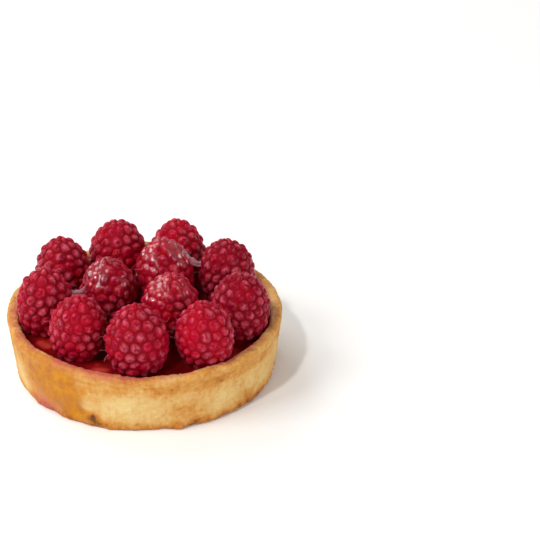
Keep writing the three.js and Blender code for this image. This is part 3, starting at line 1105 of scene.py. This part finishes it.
def style_tree(material):
    """A bent, tapering thread on some of the points, along each point's own direction."""
    tree, given = new_geometry_tree(
        "styles",
        {
            "Length": STYLE_LENGTH * MM,
            "Thickness": STYLE_THICKNESS * MM,
            "Share left": 0.3,
            "Seed": 1,
        },
    )
    middle = add_node(
        tree, "ShaderNodeVectorMath", {0: (0.05, 0, 0.55), "Scale": given["Length"]}, operation="SCALE"
    )
    end = add_node(
        tree, "ShaderNodeVectorMath", {0: (0.6, 0.1, 0.75), "Scale": given["Length"]}, operation="SCALE"
    )
    thread = add_node(
        tree,
        "GeometryNodeCurveQuadraticBezier",
        {"Resolution": 6, "Start": (0, 0, 0), "Middle": middle, "End": end},
    )
    ring = add_node(
        tree, "GeometryNodeCurvePrimitiveCircle", {"Resolution": 5, "Radius": given["Thickness"]}
    )
    along_it = add_node(tree, "GeometryNodeSplineParameter")
    taper = add_node(
        tree, "ShaderNodeMath", {0: along_it, 1: -0.35, 2: 0.55}, operation="MULTIPLY_ADD"
    )
    solid = add_node(
        tree,
        "GeometryNodeCurveToMesh",
        {"Curve": thread, "Profile Curve": ring, "Scale": taper, "Fill Caps": True},
    )
    left = add_node(
        tree, "FunctionNodeRandomValue", {6: given["Share left"], 8: given["Seed"]}, data_type="BOOLEAN"
    )
    size = add_node(
        tree, "FunctionNodeRandomValue", {2: 0.55, 3: 1.1, 8: given["Seed"]}, data_type="FLOAT"
    )
    turn = add_node(
        tree,
        "FunctionNodeRandomValue",
        {0: (-0.5, -0.5, -math.pi), 1: (0.5, 0.5, math.pi), 8: given["Seed"]},
        data_type="FLOAT_VECTOR",
    )
    own_turn = add_node(tree, "FunctionNodeEulerToRotation", {"Euler": turn})
    outwards = add_node(
        tree, "GeometryNodeInputNamedAttribute", {"Name": "outwards"}, data_type="FLOAT_VECTOR"
    )
    upright = add_node(tree, "FunctionNodeAlignRotationToVector", {"Vector": outwards}, axis="Z")
    turned = add_node(
        tree,
        "FunctionNodeRotateRotation",
        {"Rotation": upright, "Rotate By": own_turn},
        rotation_space="LOCAL",
    )
    placed = add_node(
        tree,
        "GeometryNodeInstanceOnPoints",
        {
            "Points": given["Geometry"],
            "Selection": left.outputs[3],
            "Instance": solid,
            "Rotation": turned,
            "Scale": size.outputs[1],
        },
    )
    finish_tree(tree, placed, material)
    return tree


def dry_style():
    """Dried plant thread: matt, pale straw with some red of the juice."""
    material, tree = new_material("dry_style")
    shader = add_node(
        tree,
        "ShaderNodeBsdfPrincipled",
        {"Base Color": linear("#cc8c84"), "Roughness": 0.6, "Specular IOR Level": 0.3},
    )
    add_node(tree, "ShaderNodeOutputMaterial", {"Surface": shader})
    return material


def style_points():
    """A mesh of the drupelets' tops alone, without those round the tips, which are bare,
    and those whose thread would be in the filling or the wall."""
    kept = []
    for place, outwards in all_summits:
        end = place + outwards * STYLE_LENGTH
        free = end.z > FILLING_TOP + STYLE_GAP and end.xy.length < inner_radius(end.z) - STYLE_GAP
        if outwards.z < BARE_TIP and free:
            kept.append((place, outwards))
    mesh = bpy.data.meshes.new("style_points")
    mesh.from_pydata([place * MM for place, _ in kept], [], [])
    directions = [number for _, outwards in kept for number in outwards]
    mesh.attributes.new("outwards", "FLOAT_VECTOR", "POINT").data.foreach_set("vector", directions)
    return mesh


styles = grow(
    "berry_styles", style_points(), style_tree(dry_style()), {"Share left": 0.2, "Seed": 7}
)
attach(styles, "root")

# ---- Crumbs ----
# Crumbs of the dough that have come loose and stuck again: most along the foot, where it
# was pushed out of the ring, some on the lip and a few on the wall.

CRUMB_SIZE = 0.5
CRUMB_KNOB_SIZE = 0.25  # of the knobs on it


def crumb_tree(material):
    """Uneven little lumps on the faces of a mesh, where it is painted crumbly."""
    tree, given = new_geometry_tree(
        "crumbs", {"Number per mm2": 1.0, "Size": CRUMB_SIZE * MM, "Seed": 1}
    )
    crumbly = add_node(
        tree, "GeometryNodeInputNamedAttribute", {"Name": "crumbly"}, data_type="FLOAT"
    )
    number = add_node(
        tree, "ShaderNodeMath", {0: given["Number per mm2"], 1: MM**-2}, operation="MULTIPLY"
    )
    density = add_node(tree, "ShaderNodeMath", {0: crumbly, 1: number}, operation="MULTIPLY")
    spots = add_node(
        tree,
        "GeometryNodeDistributePointsOnFaces",
        {"Mesh": given["Geometry"], "Density": density, "Seed": given["Seed"]},
    )
    radius = add_node(tree, "ShaderNodeMath", {0: given["Size"], 1: 0.5}, operation="MULTIPLY")
    ball = add_node(tree, "GeometryNodeMeshIcoSphere", {"Radius": radius, "Subdivisions": 2})
    rough = add_node(
        tree, "ShaderNodeTexNoise", {"Scale": scale_for(CRUMB_KNOB_SIZE), "Detail": 1}
    )
    centred = add_node(
        tree,
        "ShaderNodeVectorMath",
        {0: rough.outputs["Color"], 1: (0.5, 0.5, 0.5)},
        operation="SUBTRACT",
    )
    knobs = add_node(
        tree, "ShaderNodeVectorMath", {0: centred, "Scale": given["Size"]}, operation="SCALE"
    )
    lump = add_node(tree, "GeometryNodeSetPosition", {"Geometry": ball, "Offset": knobs})
    size = add_node(
        tree,
        "FunctionNodeRandomValue",
        {0: (0.4, 0.4, 0.4), 1: (1.6, 1.3, 1.0), 8: given["Seed"]},
        data_type="FLOAT_VECTOR",
    )
    turn = add_node(
        tree,
        "FunctionNodeRandomValue",
        {0: (-3, -3, -3), 1: (3, 3, 3), 8: given["Seed"]},
        data_type="FLOAT_VECTOR",
    )
    placed = add_node(
        tree,
        "GeometryNodeInstanceOnPoints",
        {"Points": spots, "Instance": lump, "Rotation": turn, "Scale": size},
    )
    finish_tree(tree, placed, material)
    return tree


crumbs = grow(
    "pastry_crumbs", case.data.copy(), crumb_tree(shortcrust), {"Number per mm2": 0.9, "Seed": 3}
)
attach(crumbs, "root")

# ---- Glaze between the raspberries ----
# Clear fruit glaze spooned over the middle berries has run down them and set in small
# webs where two berries nearly touch.

# For each web where it starts and ends, how far its middle hangs, and its half
# thickness at the ends and in the middle.
GLAZE_WEBS = [
    ((-25.0, -3.6, 27.5), (-15.5, 1.4, 26.8), 1.5, 2.6, 0.8),
    ((10.6, 11.2, 32.0), (20.5, 13.2, 27.6), 1.3, 2.8, 0.9),
]
WEB_STEPS = 28
WEB_SIDES = 18
WEB_TAPER = 0.7  # below 1 the ends are short, and above 1 they are long
WEB_BREADTH = 0.6  # from side to side, as a share of its height
WEB_UNEVENNESS = 0.6


def glaze_webs():
    points, faces = [], []
    for start, end, sag, at_end, in_middle in GLAZE_WEBS:
        start, end = Vector(start), Vector(end)
        aside = (end - start).cross(Vector((0, 0, 1))).normalized()
        above = aside.cross(end - start).normalized()
        rows = []
        for step in range(WEB_STEPS + 1):
            part = step / WEB_STEPS
            bow = math.sin(math.pi * part)
            middle = start.lerp(end, part) - Vector((0, 0, sag * bow))
            half = at_end + (in_middle - at_end) * bow**WEB_TAPER
            row = []
            for i in range(WEB_SIDES):
                turn = 2 * math.pi * i / WEB_SIDES
                out = aside * (WEB_BREADTH * math.cos(turn)) + above * math.sin(turn)
                bulge = WEB_UNEVENNESS * noise.noise(middle * 0.7 + out * 1.5)
                row.append(middle + out * half * (1 + bulge))
            rows.append(row)
        web_points, web_faces = turned_skin(rows)
        faces += [tuple(corner + len(points) for corner in face) for face in web_faces]
        points += web_points
    return make_piece("glaze_webs", points, faces, {})


def clear_glaze():
    """Set clear glaze: a soft gel, wet on top, with a little red from the berries."""
    material, tree = new_material("clear_glaze")
    shader = add_node(
        tree,
        "ShaderNodeBsdfPrincipled",
        {
            "Base Color": linear("#f6bcc6"),
            "Roughness": 0.08,
            "IOR": 1.42,
            "Specular IOR Level": 1.0,
            "Transmission Weight": 0.65,
            "Subsurface Weight": 0.6,
            "Subsurface Radius": (1.0, 0.4, 0.4),
            "Subsurface Scale": 1.0 * MM,
        },
    )
    add_node(tree, "ShaderNodeOutputMaterial", {"Surface": shader})
    return material


webs = glaze_webs()
webs.data.materials.append(clear_glaze())
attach(webs, "root")

# ---- Studio ----
# A white floor and white surroundings, with a small light in front and a large soft one
# beside it to the left, a weaker one in front to the right, and one behind to the left.

PICTURE = 540  # pixels each way
VIEW_RISE = math.radians(29.2)
VIEW_DISTANCE = 850  # to the middle of the rim
PIXELS_PER_MM = 3.262  # there
RIM_PIXEL = (144.8, 306.6)  # where the middle of the rim shows
RIM_MIDDLE = Vector((0, 0, 20))
SENSOR_WIDTH = 36
FLOOR_WIDTH = 4  # metres
ROOM_LIGHT = 0.36

focal = VIEW_DISTANCE * PIXELS_PER_MM
forwards = Vector((0, math.cos(VIEW_RISE), -math.sin(VIEW_RISE)))
upwards = Vector((0, math.sin(VIEW_RISE), math.cos(VIEW_RISE)))
rightwards = Vector((1, 0, 0))
ray = forwards + rightwards * ((RIM_PIXEL[0] - PICTURE / 2) / focal)
ray -= upwards * ((RIM_PIXEL[1] - PICTURE / 2) / focal)

camera = bpy.data.objects.new("camera", bpy.data.cameras.new("camera"))
bpy.context.scene.collection.objects.link(camera)
camera.data.sensor_width = SENSOR_WIDTH
camera.data.lens = SENSOR_WIDTH * focal / PICTURE
camera.location = (RIM_MIDDLE - ray * VIEW_DISTANCE) * MM
camera.rotation_euler = forwards.to_track_quat("-Z", "Y").to_euler()
bpy.context.scene.camera = camera

bpy.ops.mesh.primitive_plane_add(size=FLOOR_WIDTH, location=(0, 0, 0))
floor = bpy.context.object
floor.name = "floor"
white, tree = new_material("white_sweep")  # matt white paper, which hardly shines
paper = add_node(
    tree, "ShaderNodeBsdfPrincipled", {"Base Color": linear("#f6f5f3"), "Roughness": 0.8}
)
add_node(tree, "ShaderNodeOutputMaterial", {"Surface": paper})
floor.data.materials.append(white)

world = bpy.data.worlds.new("white_room")
bpy.context.scene.world = world
world.use_nodes = True
world.node_tree.nodes["Background"].inputs["Color"].default_value = (1, 1, 1, 1)
world.node_tree.nodes["Background"].inputs["Strength"].default_value = ROOM_LIGHT


def add_light(name, place, size, watts):
    """A square soft light, with its place and size in metres, that shines at the tart."""
    light = bpy.data.lights.new(name, "AREA")
    light.size = size
    light.energy = watts
    lamp = bpy.data.objects.new(name, light)
    lamp.location = place
    towards_tart = RIM_MIDDLE * MM - lamp.location
    lamp.rotation_euler = towards_tart.to_track_quat("-Z", "Y").to_euler()
    bpy.context.scene.collection.objects.link(lamp)


add_light("key", Vector((-0.35, -0.6, 0.95)), 0.08, 4.2)
add_light("window", Vector((-0.8, -0.35, 0.75)), 0.6, 7.5)
add_light("fill", Vector((0.8, -0.8, 0.45)), 0.6, 5.0)
add_light("back", Vector((-0.5, 0.65, 0.65)), 0.7, 5.0)
bpy.context.scene.view_settings.view_transform = "Standard"
